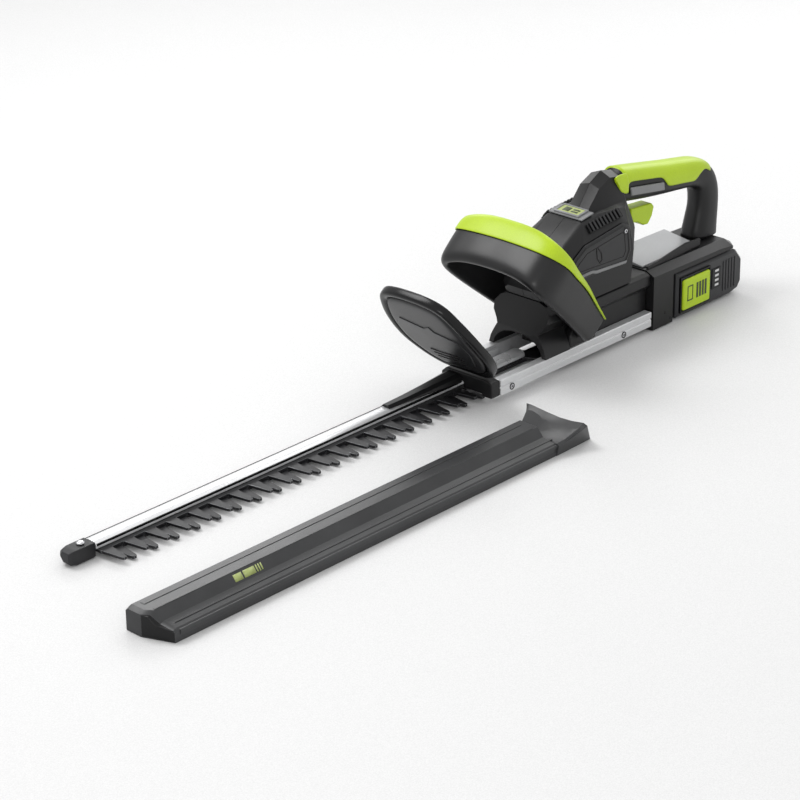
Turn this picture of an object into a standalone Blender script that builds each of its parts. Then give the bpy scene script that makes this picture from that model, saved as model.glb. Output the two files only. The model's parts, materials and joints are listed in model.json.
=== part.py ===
"""Cordless hedge trimmer with its blade scabbard lying beside it.

Lengths are in millimetres and become metres when a mesh is made. The working
datum is the first tooth gap at the blade root: +X runs to the blade tip, +Y to
the tool's left, +Z up, and the top of the upper blade is at z = 0. Every object
is then shifted so that the origin is the middle of the footprint on the floor.
"""

import math

import bmesh
import bpy
from mathutils import Vector

# Placement of the working datum in the finished frame
SHIFT = Vector((399.995, -54.862, 8.0))
FLOOR = -8.0
MID = 3.0

# Blades
PITCH = 27.0
TEETH = 19
TOOTH_REACH = 26.0
BLADE_THICK = 3.0
BLADE_BACK = -22.0
STROKE_OFFSET = 6.0
BLADE_TAIL_X = -652.0
BOLT_X = (-70.0, -190.0, -310.0, -430.0)
BOLT_Y = -14.0
BOLT_R = 3.0
STROKE_BACK = 14.0
STROKE_FORWARD = 2.0

# Guide bar over the blades
BAR_Y0 = -23.0
BAR_Y1 = -5.0
BAR_TOP = 7.3

# Side rails
RAIL_IN = 29.0
RAIL_OUT = 39.0
RAIL_Z0 = -1.0
RAIL_Z1 = 16.0
RAIL_FRONT = -487.0
RIGHT_RAIL_FRONT = -508.0
RAIL_REAR = -738.0

# Gear train
GEAR_X = -625.0
MOTOR_X = -654.15
CRANK_TEETH = 46
PINION_TEETH = 12
MODULE = 1.0
ECCENTRIC = 8.0

# Walls and gaps
WALL = 2.6
GAP = 0.3


def material(name, colour, rough, metal=0.0):
    made = bpy.data.materials.new(name)
    made.use_nodes = True
    shader = made.node_tree.nodes["Principled BSDF"]
    shader.inputs["Base Color"].default_value = (*colour, 1.0)
    shader.inputs["Roughness"].default_value = rough
    shader.inputs["Metallic"].default_value = metal
    return made


def finish(name, mesh_builder, mat, pivot=(0.0, 0.0, 0.0), smooth=False):
    """Makes an object from a bmesh in working millimetres, with its origin at pivot."""
    bmesh.ops.remove_doubles(mesh_builder, verts=mesh_builder.verts, dist=0.002)
    bmesh.ops.recalc_face_normals(mesh_builder, faces=mesh_builder.faces)
    origin = Vector(pivot)
    for vert in mesh_builder.verts:
        vert.co = (vert.co - origin) * 0.001
    mesh = bpy.data.meshes.new(name)
    mesh_builder.to_mesh(mesh)
    mesh_builder.free()
    obj = bpy.data.objects.new(name, mesh)
    bpy.context.scene.collection.objects.link(obj)
    obj.location = (origin + SHIFT) * 0.001
    obj.data.materials.append(material(name + "_mat", *mat))
    for face in obj.data.polygons:
        face.use_smooth = smooth
    return obj


def place(axis, a, b, level):
    """A point from two in-plane values and its level along axis."""
    if axis == "x":
        return Vector((level, a, b))
    if axis == "y":
        return Vector((a, level, b))
    return Vector((a, b, level))


def cap(bm, row, strips):
    """Closes a ring with one face, or with strips between its mirrored halves."""
    if not strips:
        bm.faces.new(row)
        return
    last = len(row) - 1
    for i in range(len(row) // 2 - 1):
        bm.faces.new((row[i], row[i + 1], row[last - i - 1], row[last - i]))


def skin(rings, cap_first=True, cap_last=True, strips=False):
    """A bmesh of quads between equal rings of points."""
    bm = bmesh.new()
    rows = [[bm.verts.new(point) for point in ring] for ring in rings]
    count = len(rows[0])
    for low, high in zip(rows, rows[1:]):
        for i in range(count):
            j = (i + 1) % count
            bm.faces.new((low[i], low[j], high[j], high[i]))
    if cap_first:
        cap(bm, rows[0], strips)
    if cap_last:
        cap(bm, rows[-1], strips)
    return bm


def loft(name, rings, mat, **more):
    return finish(name, skin(rings), mat, **more)


def prism(name, outline, axis, low, high, mat, **more):
    rings = [[place(axis, a, b, level) for a, b in outline] for level in (low, high)]
    return loft(name, rings, mat, **more)


def box(name, low, high, mat, **more):
    outline = [(low[0], low[1]), (high[0], low[1]), (high[0], high[1]), (low[0], high[1])]
    return prism(name, outline, "z", low[2], high[2], mat, **more)


def circle(cx, cy, radius, count):
    turn = 2.0 * math.pi / count
    return [(cx + radius * math.cos(turn * i), cy + radius * math.sin(turn * i)) for i in range(count)]


def lathe(name, profile, axis, centre, count, mat, **more):
    """Revolves (radius, level) pairs about axis through centre (in-plane pair)."""
    rings = []
    for radius, level in profile:
        ring = circle(centre[0], centre[1], max(radius, 0.001), count)
        rings.append([place(axis, a, b, level) for a, b in ring])
    closed = profile[0] == profile[-1]
    return finish(name, skin(rings, not closed, not closed), mat, **more)


def bevel(obj, width, segments=1, angle=35.0):
    mod = obj.modifiers.new("Bevel", "BEVEL")
    mod.width = width * 0.001
    mod.segments = segments
    mod.limit_method = "ANGLE"
    mod.angle_limit = math.radians(angle)
    mod.harden_normals = False
    return obj


def cut(obj, cutter):
    """Takes the cutter's shape out of obj."""
    cutter.hide_render = True
    cutter.display_type = "WIRE"
    mod = obj.modifiers.new("Cut", "BOOLEAN")
    mod.operation = "DIFFERENCE"
    mod.solver = "EXACT"
    mod.object = cutter
    return obj


def join(obj, other):
    """Adds the other's shape to obj, as one body."""
    other.hide_render = True
    other.display_type = "WIRE"
    mod = obj.modifiers.new("Join", "BOOLEAN")
    mod.operation = "UNION"
    mod.solver = "EXACT"
    mod.object = other
    return obj


def area(outline):
    total = 0.0
    for (ax, ay), (bx, by) in zip(outline, outline[1:] + outline[:1]):
        total += ax * by - bx * ay
    return total / 2.0


def inset(outline, distance):
    """The outline moved inwards by distance, corner for corner."""
    sign = 1.0 if area(outline) > 0 else -1.0
    count = len(outline)
    moved = []
    for i in range(count):
        before = Vector(outline[i - 1])
        here = Vector(outline[i])
        after = Vector(outline[(i + 1) % count])
        first = (here - before).normalized()
        second = (after - here).normalized()
        normal_a = Vector((-first.y, first.x)) * sign
        normal_b = Vector((-second.y, second.x)) * sign
        middle = (normal_a + normal_b).normalized()
        reach = distance / max(middle.dot(normal_a), 0.35)
        moved.append(tuple(here + middle * reach))
    return moved


def half_shell(name, side, layers, mat, wall=WALL):
    """A hollow half, open at the centre plane. layers are (offset, x-z outline)."""
    outer = []
    for offset, outline in layers:
        outer.append([Vector((x, MID + side * offset, z)) for x, z in outline])
    inner = []
    for offset, outline in layers:
        depth = min(offset, layers[-1][0] - wall)
        inner.append([Vector((x, MID + side * depth, z)) for x, z in inset(outline, wall)])
    inner[-1] = [Vector((p.x, MID + side * (layers[-1][0] - wall), p.z)) for p in inner[-1]]
    bm = bmesh.new()
    out_rows = [[bm.verts.new(p) for p in ring] for ring in outer]
    in_rows = [[bm.verts.new(p) for p in ring] for ring in inner]
    count = len(out_rows[0])
    for rows in (out_rows, in_rows):
        for low, high in zip(rows, rows[1:]):
            for i in range(count):
                j = (i + 1) % count
                bm.faces.new((low[i], low[j], high[j], high[i]))
        bm.faces.new(rows[-1])
    for i in range(count):
        j = (i + 1) % count
        bm.faces.new((out_rows[0][i], out_rows[0][j], in_rows[0][j], in_rows[0][i]))
    return finish(name, bm, mat)


def gear_outline(cx, cy, teeth, module, phase):
    """A simple straight-flanked gear outline."""
    pitch_r = teeth * module / 2.0
    points = []
    step = 2.0 * math.pi / teeth
    shape = ((-0.30, -1.2), (-0.13, 0.9), (0.13, 0.9), (0.30, -1.2))
    for i in range(teeth):
        for part, height in shape:
            angle = phase + (i + part) * step
            radius = pitch_r + height * module
            points.append((cx + radius * math.cos(angle), cy + radius * math.sin(angle)))
    return points


def ring_prism(name, outer, inner, axis, low, high, mat, **more):
    """A prism with one hole. The outer and inner outlines have equal counts."""
    bm = bmesh.new()
    rows = []
    for outline, level in ((outer, low), (outer, high), (inner, high), (inner, low)):
        rows.append([bm.verts.new(place(axis, a, b, level)) for a, b in outline])
    count = len(outer)
    for k in range(4):
        a_row = rows[k]
        b_row = rows[(k + 1) % 4]
        for i in range(count):
            j = (i + 1) % count
            bm.faces.new((a_row[i], a_row[j], b_row[j], b_row[i]))
    return finish(name, bm, mat, **more)


def mirrored(outline):
    """Half outline of (offset, z) pairs, made whole about the centre plane."""
    right = [(MID + offset, z) for offset, z in outline]
    left = [(MID - offset, z) for offset, z in reversed(outline)]
    return right + left


for old in list(bpy.data.objects):
    bpy.data.objects.remove(old, do_unlink=True)

BLACK = ((0.030, 0.030, 0.032), 0.45)
DARK = ((0.055, 0.055, 0.058), 0.5)
GREY = ((0.16, 0.16, 0.165), 0.5)
PANEL = ((0.22, 0.22, 0.22), 0.4)
LIGHT = ((0.42, 0.42, 0.43), 0.4, 0.6)
GREEN = ((0.47, 0.63, 0.045), 0.5)
STEEL = ((0.30, 0.30, 0.31), 0.3, 1.0)
DARK_STEEL = ((0.09, 0.09, 0.095), 0.4, 1.0)
ALU = ((0.75, 0.75, 0.76), 0.3, 1.0)
COPPER = ((0.45, 0.22, 0.1), 0.4, 1.0)
BOARD = ((0.03, 0.16, 0.06), 0.6)
CELL = ((0.1, 0.2, 0.35), 0.5)

# ---------------------------------------------------------------- blades


def blade_outline(shift):
    """Toothed strip and its tail, seen from above."""
    points = [(20.8 + shift, BLADE_BACK), (20.8 + shift, 0.0)]
    for i in range(-1, TEETH - 1):
        centre = -PITCH * i - PITCH / 2.0 + shift
        points += [
            (centre + 6.4, 0.0),
            (centre + 2.7, TOOTH_REACH - 2.0),
            (centre + 1.6, TOOTH_REACH),
            (centre - 1.6, TOOTH_REACH),
            (centre - 2.7, TOOTH_REACH - 2.0),
            (centre - 6.4, 0.0),
        ]
    points += [
        (-486.0 + shift, 0.0),
        (-492.0 + shift, -6.0),
        (-584.0 + shift, -6.0),
        (-598.0 + shift, 23.0),
        (BLADE_TAIL_X + shift, 23.0),
        (BLADE_TAIL_X + shift, -17.0),
        (-600.0 + shift, -17.0),
        (-590.0 + shift, BLADE_BACK),
    ]
    return points


def make_blade(name, z_low, shift, slot_back, slot_front):
    blade = prism(name, blade_outline(shift), "z", z_low, z_low + BLADE_THICK, DARK_STEEL)
    half = BOLT_R + 0.5
    for index, x in enumerate(BOLT_X):
        ends = []
        for turn in range(9):
            angle = math.pi / 2 + math.pi * turn / 8
            ends.append((x - slot_back + half * math.cos(angle), BOLT_Y + half * math.sin(angle)))
        for turn in range(9):
            angle = -math.pi / 2 + math.pi * turn / 8
            ends.append((x + slot_front + half * math.cos(angle), BOLT_Y + half * math.sin(angle)))
        cutter = prism(f"{name}_slot_{index}", ends, "z", z_low - 2, z_low + 5, DARK)
        cut(blade, cutter)
    yoke = box(
        name + "_yoke_cut",
        (GEAR_X + shift * ECCENTRIC / STROKE_OFFSET - 9.3, MID - 16.0, z_low - 2),
        (GEAR_X + shift * ECCENTRIC / STROKE_OFFSET + 9.3, MID + 16.0, z_low + 5),
        DARK,
    )
    cut(blade, yoke)
    return blade


make_blade("upper_blade", -BLADE_THICK, STROKE_OFFSET, STROKE_FORWARD, STROKE_BACK)
make_blade("lower_blade", -2 * BLADE_THICK - GAP, -STROKE_OFFSET, STROKE_BACK, STROKE_FORWARD)

bar_points = [(BAR_Y0, GAP)]
for i in range(9):
    angle = math.pi * i / 8
    mid_y = (BAR_Y0 + BAR_Y1) / 2
    half_w = (BAR_Y1 - BAR_Y0) / 2
    bar_points.append((mid_y - half_w * math.cos(angle), 2.6 + (BAR_TOP - 2.6) * math.sin(angle) ** 0.7))
bar_points.append((BAR_Y1, GAP))
prism("blade_bar", bar_points, "x", -580.0, 27.5, ALU)

for index, x in enumerate(BOLT_X):
    bottom = -2 * BLADE_THICK - 2 * GAP
    profile = ((6.0, FLOOR + 0.3), (6.0, bottom), (BOLT_R, bottom), (BOLT_R, 0.15))
    lathe(f"blade_bolt_{index + 1}", profile, "z", (x, BOLT_Y), 16, STEEL, smooth=False)

# Nose guard: a block with a flat top, its front rounded in plan and its far side cut away
nose_rings = []
for x, y_near, y_far, low, high in (
    (29.0, -4.5, -23.5, FLOOR, 8.2),
    (51.0, -4.5, -23.5, FLOOR, 8.2),
    (57.0, -5.5, -22.0, FLOOR + 1.5, 7.6),
    (60.0, -7.5, -19.0, FLOOR + 4.0, 6.0),
):
    ring = [
        (y_far, high - 3.0),
        (y_far + 3.0, high),
        (y_near, high),
        (y_near, low + 2.0),
        (y_near - 2.0, low),
        (y_far + 4.0, low),
        (y_far, low + 5.0),
    ]
    nose_rings.append([Vector((x, y, z)) for y, z in ring])
loft("tip_guard", nose_rings, GREY)
lathe("tip_screw", ((4.2, 8.5), (4.2, 10.0), (2.0, 10.8)), "z", (40.0, -13.0), 14, STEEL)

# ---------------------------------------------------------------- rails and front frame
for label, side in (("left", 1), ("right", -1)):
    inner = MID + side * RAIL_IN
    outer = MID + side * RAIL_OUT
    groove = outer - side * 1.2
    front = RAIL_FRONT if side > 0 else RIGHT_RAIL_FRONT
    outline = [
        (inner, RAIL_Z0),
        (outer, RAIL_Z0),
        (outer, 6.6),
        (groove, 7.2),
        (groove, 8.2),
        (outer, 8.8),
        (outer, RAIL_Z1 - 0.8),
        (outer - side * 0.8, RAIL_Z1),
        (inner, RAIL_Z1),
    ]
    prism("rail_" + label, outline, "x", RAIL_REAR, front, ALU)
    arm_out = MID + side * (RAIL_IN - GAP)
    arm_in = MID + side * (RAIL_IN - 2.6)
    arm = [
        (-487.0, -6.0),
        (-487.0, 12.0),
        (-557.6, 12.5),
        (-557.6, -2.0),
        (-540.0, -3.0),
    ]
    prism("frame_arm_" + label, arm, "y", arm_in, arm_out, BLACK)

bracket_outline = (
    [(MID + 38.5, -1.0), (MID + 39.0, 4.0), (MID + 38.0, 16.0), (MID + 28.0, 17.8)]
    + [(-22.0, 17.8), (-28.5, 12.0), (-28.5, -1.0)]
    + [(-24.2, -1.0), (-24.2, 8.4), (2.0, 8.4), (2.0, 1.5), (28.5, 1.5), (28.5, -1.0)]
)
prism("front_bracket", bracket_outline, "x", RAIL_FRONT + GAP, -473.0, BLACK)

# Root cover: a tapered hood over the bar just ahead of the guard
cover_rings = []
for x, half, high in ((-372.0, 6.0, 10.6), (-400.0, 7.5, 11.5), (-435.0, 9.5, 13.5), (-472.7, 12.0, 16.0)):
    mid_y = (BAR_Y0 + BAR_Y1) / 2 + (x + 370.0) * -0.03
    ring = [(-half, 7.7), (half, 7.7), (half * 0.92, high - 2.5), (half * 0.5, high), (-half * 0.5, high)]
    ring.append((-half * 0.92, high - 2.5))
    cover_rings.append([Vector((x, mid_y + a, b)) for a, b in ring])
loft("root_cover", cover_rings, BLACK)

# ---------------------------------------------------------------- hand guard
LEAN_X = 84.0 / 132.14
LEAN_Z = 102.0 / 132.14
GUARD_FOOT = Vector((-482.0, 0.0, 19.0))
GUARD_UP = Vector((LEAN_X, 0.0, LEAN_Z))
GUARD_FRONT = Vector((LEAN_Z, 0.0, -LEAN_X))
GUARD_HALF = (
    (2.0, 28.0),
    (8.0, 38.0),
    (20.0, 48.5),
    (45.0, 59.0),
    (70.0, 60.5),
    (96.0, 57.5),
    (118.0, 51.0),
    (134.0, 43.5),
    (142.0, 31.0),
    (145.5, 12.0),
)


def guard_point(offset, up, front):
    bow = 4.0 * math.sin(math.pi * min(max(up / 152.0, 0.0), 1.0))
    base = GUARD_FOOT + GUARD_UP * up + GUARD_FRONT * (front + bow)
    return Vector((base.x, MID + offset, base.z))


guard_edge = [(half, up) for up, half in GUARD_HALF] + [(-half, up) for up, half in reversed(GUARD_HALF)]


def guard_ring(shrink, front):
    points = inset(guard_edge, shrink) if shrink else guard_edge
    return [guard_point(a, b, front) for a, b in points]


guard_rings = [
    guard_ring(10.0, -1.0),
    guard_ring(3.0, -2.0),
    guard_ring(0.0, -6.0),
    guard_ring(0.0, 3.0),
    guard_ring(1.5, 4.5),
    guard_ring(6.5, 4.5),
    guard_ring(8.5, 1.6),
]
finish("guard_shield", skin(guard_rings, strips=True), BLACK)
panel_rings = [guard_ring(9.5, 2.0), guard_ring(9.5, 3.6), guard_ring(13.0, 4.6)]
finish("guard_panel", skin(panel_rings, strips=True), PANEL)

# ---------------------------------------------------------------- gear case
CASE_HALF = (
    (22.0, 74.0),
    (31.0, 71.0),
    (38.0, 63.0),
    (37.0, 54.0),
    (31.0, 46.0),
    (28.5, 41.0),
    (33.0, 33.5),
    (37.5, 25.0),
    (40.0, 16.4),
    (34.0, 16.4),
    (32.0, 23.0),
    (27.0, 29.5),
    (19.0, 34.5),
    (8.0, 37.0),
)
case_outline = mirrored(CASE_HALF)
case_front = []
for x, pull in ((-558.0, 0.0), (-598.0, 1.0)):
    case_front.append([Vector((x - (1 - pull) * max(z - 40.0, 0.0) * 0.3, y, z)) for y, z in case_outline])
loft("gear_case_front", case_front, DARK)

BASE_X0 = -598.4
BASE_X1 = -740.6


def base_side(low, high):
    return [(BASE_X0, low), (BASE_X0, high), (BASE_X1, high), (BASE_X1, low)]


for label, side in (("left", 1), ("right", -1)):
    layers = [
        (0.15, base_side(9.0, 60.0)),
        (28.4, base_side(9.0, 60.0)),
        (28.7, base_side(40.0, 60.0)),
        (34.5, base_side(46.0, 57.0)),
    ]
    shell = half_shell("base_" + label, side, layers, BLACK)
    hole = lathe("shaft_hole_" + label, ((12.0, 5.0), (12.0, 13.0)), "z", (GEAR_X, MID), 24, DARK)
    cut(shell, hole)
    motor_hole = lathe("motor_hole_" + label, ((10.0, 54.0), (10.0, 63.0)), "z", (MOTOR_X, MID), 24, DARK)
    cut(shell, motor_hole)

box("gear_case_bottom", (-739.0, MID - 28.6, FLOOR + 0.3), (-600.0, MID + 28.6, -6.7), DARK)

# ---------------------------------------------------------------- motor housing
M0 = [
    (-599.5, 61.0),
    (-599.5, 74.5),
    (-569.0, 74.5),
    (-566.0, 84.0),
    (-606.0, 129.0),
    (-634.0, 146.0),
    (-656.0, 149.1),
    (-675.0, 173.5),
    (-693.0, 183.0),
    (-710.0, 179.5),
    (-712.5, 150.0),
    (-727.0, 118.0),
    (-723.0, 61.0),
]
M1 = [(x, z if z < 151 else z - (z - 150) * 0.16) for x, z in M0]
M2 = [(x, z if z < 147 else 148.0 + (z - 147) * 0.03) for x, z in M0]
M3 = [
    (-599.5, 61.0),
    (-599.5, 74.5),
    (-570.0, 74.5),
    (-567.5, 80.0),
    (-606.0, 127.0),
    (-634.0, 143.5),
    (-656.0, 145.0),
    (-680.0, 146.5),
    (-692.0, 147.0),
    (-704.0, 144.0),
    (-709.0, 136.0),
    (-722.0, 116.0),
    (-718.0, 61.0),
]
M4 = [
    (-600.5, 61.0),
    (-600.5, 74.5),
    (-584.0, 75.0),
    (-577.0, 82.0),
    (-605.0, 118.0),
    (-622.0, 128.0),
    (-650.0, 132.0),
    (-672.0, 134.5),
    (-686.0, 136.0),
    (-697.0, 131.0),
    (-701.0, 120.0),
    (-707.0, 98.0),
    (-703.0, 61.0),
]
for label, side in (("left", 1), ("right", -1)):
    layers = [(0.15, M0), (13.0, M1), (20.5, M2), (25.5, M3), (36.5, M4)]
    shell = half_shell("motor_shell_" + label, side, layers, DARK)
    way = lathe("rotor_way_" + label, ((10.0, 59.0), (10.0, 65.0)), "z", (MOTOR_X, MID), 24, DARK)
    cut(shell, way)
    low = MID + side * 27.0
    high = MID + side * 34.0
    slot = [
        Vector((-636.0, low, 143.2)),
        Vector((-636.0, high, 135.2)),
        Vector((-690.0, high, 139.4)),
        Vector((-690.0, low, 147.2)),
    ]
    lift = Vector((0.0, side * 0.75, 0.66))
    loft("vent_grille_" + label, [slot, [p + lift * 1.4 for p in slot]], BLACK)
    cover = [
        (-584.0, 91.0),
        (-606.0, 116.0),
        (-622.0, 126.0),
        (-685.0, 134.0),
        (-696.0, 129.0),
        (-700.0, 100.0),
        (-692.0, 86.0),
        (-636.0, 89.0),
    ]
    near = MID + side * (36.5 + GAP)
    far = MID + side * 39.0
    ring_a = [Vector((x, near, z)) for x, z in cover]
    ring_b = [Vector((x, MID + side * 38.2, z)) for x, z in cover]
    ring_c = [Vector((x, far, z)) for x, z in inset(cover, 1.6)]
    loft("side_cover_" + label, [ring_a, ring_b, ring_c], GREY)

panel = [(-634.5, MID - 23.0), (-634.5, MID + 23.0), (-654.5, MID + 23.0), (-654.5, MID - 23.0)]
slope = []
for level in (0.35, 2.2):
    slope.append([Vector((x, y, 146.0 + (-634.0 - x) * 0.148 + level)) for x, y in panel])
loft("top_panel", slope, PANEL)
badge = [(-637.5, MID - 15.0), (-637.5, MID + 15.0), (-652.0, MID + 15.0), (-652.0, MID - 15.0)]
slope = []
for level in (2.5, 3.4):
    slope.append([Vector((x, y, 146.0 + (-634.0 - x) * 0.148 + level)) for x, y in badge])
loft("badge_plate", slope, GREEN)

# ---------------------------------------------------------------- motor and gears
MOTOR_LOW = 66.0
MOTOR_HIGH = 122.0
can = (
    (5.0, MOTOR_LOW),
    (21.0, MOTOR_LOW),
    (21.0, MOTOR_HIGH),
    (19.0, MOTOR_HIGH),
    (19.0, MOTOR_LOW + 2.5),
    (5.0, MOTOR_LOW + 2.5),
    (5.0, MOTOR_LOW),
)
lathe("motor_can", can, "z", (MOTOR_X, MID), 28, STEEL)
rotor = (
    (2.5, 30.0),
    (2.5, 71.0),
    (15.0, 71.0),
    (15.0, 112.0),
    (5.0, 112.0),
    (5.0, 124.0),
    (2.5, 124.0),
    (2.5, 129.0),
)
lathe("rotor", rotor, "z", (MOTOR_X, MID), 24, COPPER, pivot=(MOTOR_X, MID, 90.0))


def fan_outline(count, tip, root):
    points = []
    for i in range(count):
        for part, radius in ((0.0, root), (0.12, tip), (0.34, tip), (0.42, root)):
            angle = 2 * math.pi * (i + part) / count
            points.append((MOTOR_X + radius * math.cos(angle), MID + radius * math.sin(angle)))
    return points


def bored(name, outline, centre, bore, low, high, mat, pivot):
    """A prism with a round hole, made with as many points as its outline."""
    hole = []
    for x, y in outline:
        angle = math.atan2(y - centre[1], x - centre[0])
        hole.append((centre[0] + bore * math.cos(angle), centre[1] + bore * math.sin(angle)))
    return ring_prism(name, outline, hole, "z", low, high, mat, pivot=pivot)


bored("motor_fan", fan_outline(9, 17.0, 8.0), (MOTOR_X, MID), 5.4, 114.0, 120.0, GREY, (MOTOR_X, MID, 117.0))
pinion = gear_outline(MOTOR_X, MID, PINION_TEETH, MODULE, math.pi / PINION_TEETH)
bored("pinion", pinion, (MOTOR_X, MID), 2.8, 31.0, 41.0, STEEL, (MOTOR_X, MID, 36.0))
crank = gear_outline(GEAR_X, MID, CRANK_TEETH, MODULE, 0.0)
bored("crank_gear", crank, (GEAR_X, MID), 4.3, 32.0, 40.0, STEEL, (GEAR_X, MID, 36.0))
shaft = ((4.0, 8.2), (4.0, 52.0))
lathe("gear_shaft", shaft, "z", (GEAR_X, MID), 18, STEEL, pivot=(GEAR_X, MID, 30.0))
upper_disc = ((9.0, 0.5), (9.0, 4.2))
lower_disc = ((9.0, 4.0), (9.0, 7.8))
eccentric = lathe(
    "eccentric", upper_disc, "z", (GEAR_X + ECCENTRIC, MID), 24, STEEL, pivot=(GEAR_X, MID, 4.0)
)
join(eccentric, lathe("eccentric_b", lower_disc, "z", (GEAR_X - ECCENTRIC, MID), 24, STEEL))
for label, low in (("lower", 16.0), ("upper", 44.0)):
    ring = ((4.4, low), (10.0, low), (10.0, low + 6.0), (4.4, low + 6.0), (4.4, low))
    lathe("bearing_" + label, ring, "z", (GEAR_X, MID), 22, STEEL)

# ---------------------------------------------------------------- rear handle
HANDLE_PATH = (
    (-717.5, 160.0, 16.0, 20.0),
    (-740.0, 156.0, 15.5, 20.0),
    (-770.0, 151.0, 15.5, 19.5),
    (-800.0, 146.5, 15.5, 18.5),
    (-830.0, 142.5, 15.5, 17.5),
    (-852.0, 138.5, 15.5, 17.0),
    (-868.0, 129.0, 15.5, 18.0),
    (-875.0, 114.0, 15.5, 19.0),
    (-876.0, 96.0, 15.5, 19.5),
    (-873.0, 78.0, 16.5, 21.0),
    (-870.0, 61.5, 17.5, 23.0),
)


def path_frames(path):
    """Centre, outward direction in the x-z plane, half width and half height."""
    frames = []
    for i, (x, z, width, height) in enumerate(path):
        before = path[max(i - 1, 0)]
        after = path[min(i + 1, len(path) - 1)]
        along = Vector((after[0] - before[0], 0.0, after[1] - before[1])).normalized()
        if i == 0:
            along = Vector((-1.0, 0.0, 0.0))
        if i == len(path) - 1:
            along = Vector((0.0, 0.0, -1.0))
        outward = Vector((along.z, 0.0, -along.x))
        frames.append((Vector((x, MID, z)), outward, width, height))
    return frames


def arc_sweep(name, frames, side, start, stop, steps, grow, wall, mat):
    """A bent strip of wall thickness, swept along the frames."""
    rings = []
    for centre, outward, width, height in frames:
        ring = []
        for layer in (0.0, -wall):
            angles = [start + (stop - start) * k / steps for k in range(steps + 1)]
            if layer:
                angles.reverse()
            for angle in angles:
                across = math.cos(angle)
                up = math.sin(angle)
                power_a = math.copysign(abs(across) ** 0.75, across)
                power_b = math.copysign(abs(up) ** 0.75, up)
                offset = side * power_a * (width + grow + layer)
                rise = power_b * (height + grow + layer)
                point = centre + outward * rise
                ring.append(Vector((point.x, MID + offset, point.z)))
        rings.append(ring)
    return loft(name, rings, mat, smooth=False)


frames = path_frames(HANDLE_PATH)
for label, side in (("left", 1), ("right", -1)):
    tilt = math.radians(0.6)
    quarter = math.pi / 2
    arc_sweep("handle_shell_" + label, frames, side, quarter - tilt, tilt - quarter, 8, -1.0, 2.4, BLACK)
grip_frames = frames[:7]
arc_sweep("rear_grip", grip_frames, 1, math.radians(6), math.radians(174), 12, 0.9, 1.6, GREEN)

slider_side = [(-724.0, 159.0), (-783.0, 149.6), (-784.5, 139.5), (-726.0, 148.5)]
slider_inner = [Vector((x, MID + 15.4, z)) for x, z in slider_side]
slider_outer = [Vector((x, MID + 17.8, z)) for x, z in inset(slider_side, 0.8)]
loft("lock_off_slider", [slider_inner, slider_outer], GREY)

trigger = [
    (-737.0, 128.5),
    (-774.0, 125.5),
    (-778.0, 121.0),
    (-775.0, 111.0),
    (-768.0, 102.5),
    (-760.0, 103.5),
    (-750.0, 109.5),
    (-738.0, 112.0),
]
trigger_obj = prism("trigger", trigger, "y", MID - 8.0, MID + 8.0, GREEN, pivot=(-738.0, MID, 127.5))
bevel(trigger_obj, 1.5, 2)
box("trigger_switch", (-764.0, MID - 5.5, 146.5), (-738.0, MID + 5.5, 160.0), GREY)

# ---------------------------------------------------------------- battery bay and deck
BAY_FRONT = -741.0
BAY_WALL = -776.0
BAY_REAR = -893.0


def bay_side(top, low=FLOOR, bend=-880.0, rear=BAY_REAR):
    return [
        (BAY_FRONT, low),
        (BAY_FRONT, top),
        (bend, top - 1.5),
        (rear, 52.0),
        (rear, 49.0),
        (BAY_WALL, 49.0),
        (BAY_WALL, low),
    ]


for label, side in (("left", 1), ("right", -1)):
    layers = [
        (0.15, bay_side(61.0)),
        (28.0, bay_side(61.0)),
        (39.0, bay_side(55.5, FLOOR + 1.0, -862.0, -884.0)),
    ]
    half_shell("bay_" + label, side, layers, DARK, 2.2)
deck = [(-744.0, MID - 27.0), (-744.0, MID + 20.0), (-842.0, MID + 17.0), (-842.0, MID - 27.0)]
slope = []
for near, far in ((0.4, 0.4), (2.0, 8.0)):
    ring = []
    for x, y in deck:
        level = far if y < MID else near
        ring.append(Vector((x, y, 61.0 + (x - BAY_FRONT) * 0.0132 + level)))
    slope.append(ring)
loft("deck_plate", slope, LIGHT)
fin = [(-744.0, 24.0, 3.0), (-765.0, 23.5, 4.0), (-790.0, 22.5, 7.0), (-815.0, 21.5, 9.5), (-842.0, 20.8, 8.0)]
fin_rings = []
for x, offset, high in fin:
    base_z = 61.4
    ring = [(offset - 0.0, base_z), (offset + 4.0, base_z), (offset + 3.4, base_z + high)]
    ring.append((offset + 0.6, base_z + high))
    fin_rings.append([Vector((x, MID + a, b)) for a, b in ring])
loft("deck_fin", fin_rings, BLACK)
box("controller_board", (-752.0, MID - 26.0, 0.0), (-750.4, MID + 26.0, 44.0), BOARD)
box("terminal_block", (-783.0, MID - 14.0, 14.0), (BAY_WALL - GAP, MID + 14.0, 34.0), BLACK)

# ---------------------------------------------------------------- battery
PACK = [(-784.0, -6.5), (-884.0, -6.5), (-897.0, -3.5), (-903.0, 5.0), (-903.0, 32.0), (-893.0, 44.0)]
PACK += [(-888.0, 46.5), (-784.0, 46.5)]


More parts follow.
